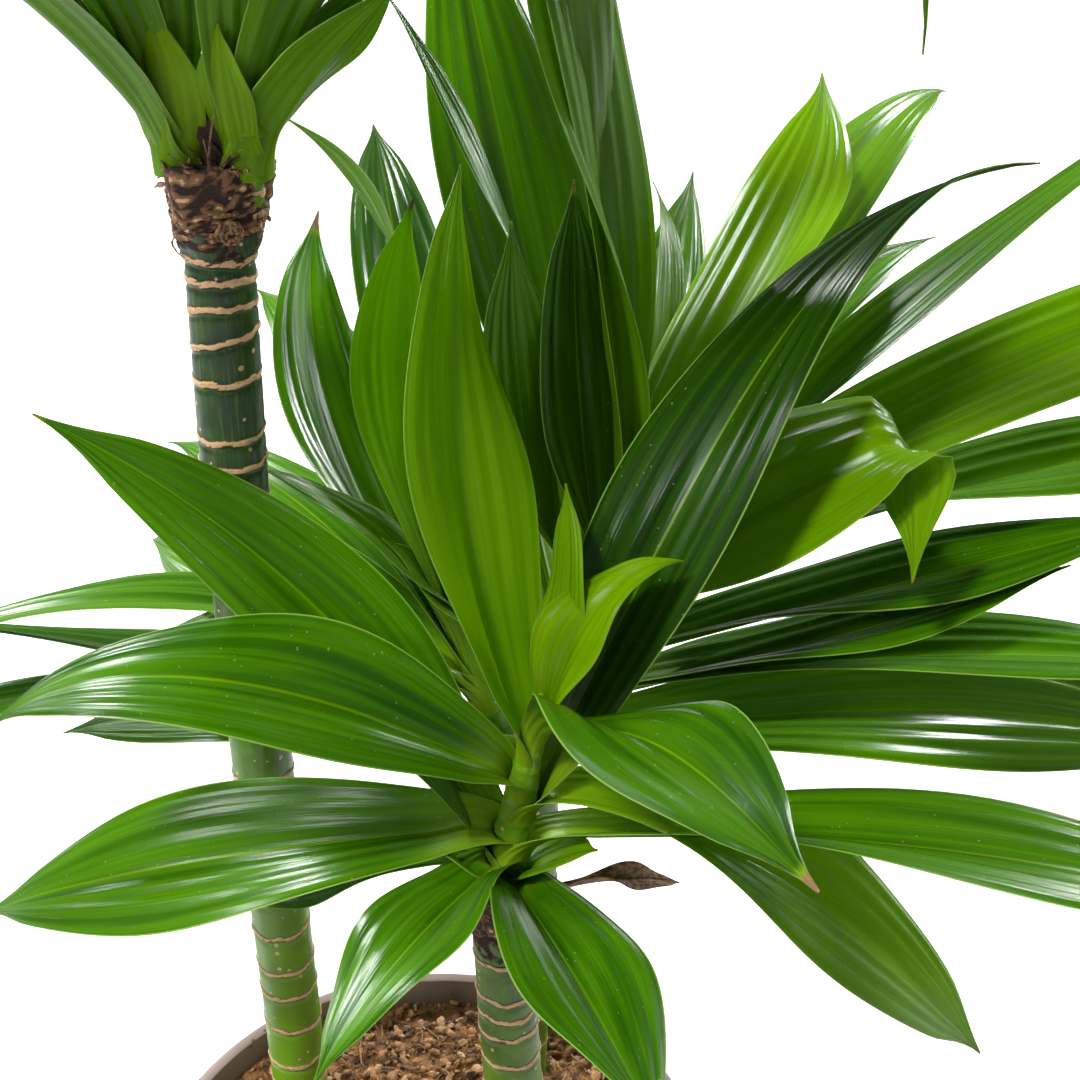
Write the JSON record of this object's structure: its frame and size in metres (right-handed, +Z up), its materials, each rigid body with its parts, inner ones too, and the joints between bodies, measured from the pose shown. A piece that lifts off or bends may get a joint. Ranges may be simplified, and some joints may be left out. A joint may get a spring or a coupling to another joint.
{
  "type": "potted corn plant",
  "caption": "Potted corn plant: bare ring-scarred canes of stepped height, crowned with arching strap leaves, in a round tapered pot of soil.",
  "frame": {"origin": "centre of the pot's foot, on the surface that it stands on", "axes": "+Z up; +X to the right and +Y to the back as the picture's viewer sees the plant"},
  "size_m": [0.8609, 0.6587, 1.1689],
  "materials": {
    "pot": "satin taupe",
    "soil": "crumbly brown peat and coir",
    "cane": "smooth green bark with tan ring scars",
    "leaf": "glossy green",
    "dried_leaf": "dry and brown"
  },
  "bodies": {
    "root": {"pot": "pot", "soil": "soil", "tall_cane": "cane", "middle_cane": "cane", "short_cane": "cane", "short_shoot": "leaf", "middle_left_shoot": "leaf", "middle_right_shoot": "leaf", "tall_left_shoot": "leaf", "tall_right_shoot": "leaf", "dried_leaf": "dried_leaf"}
  },
  "joints": []
}
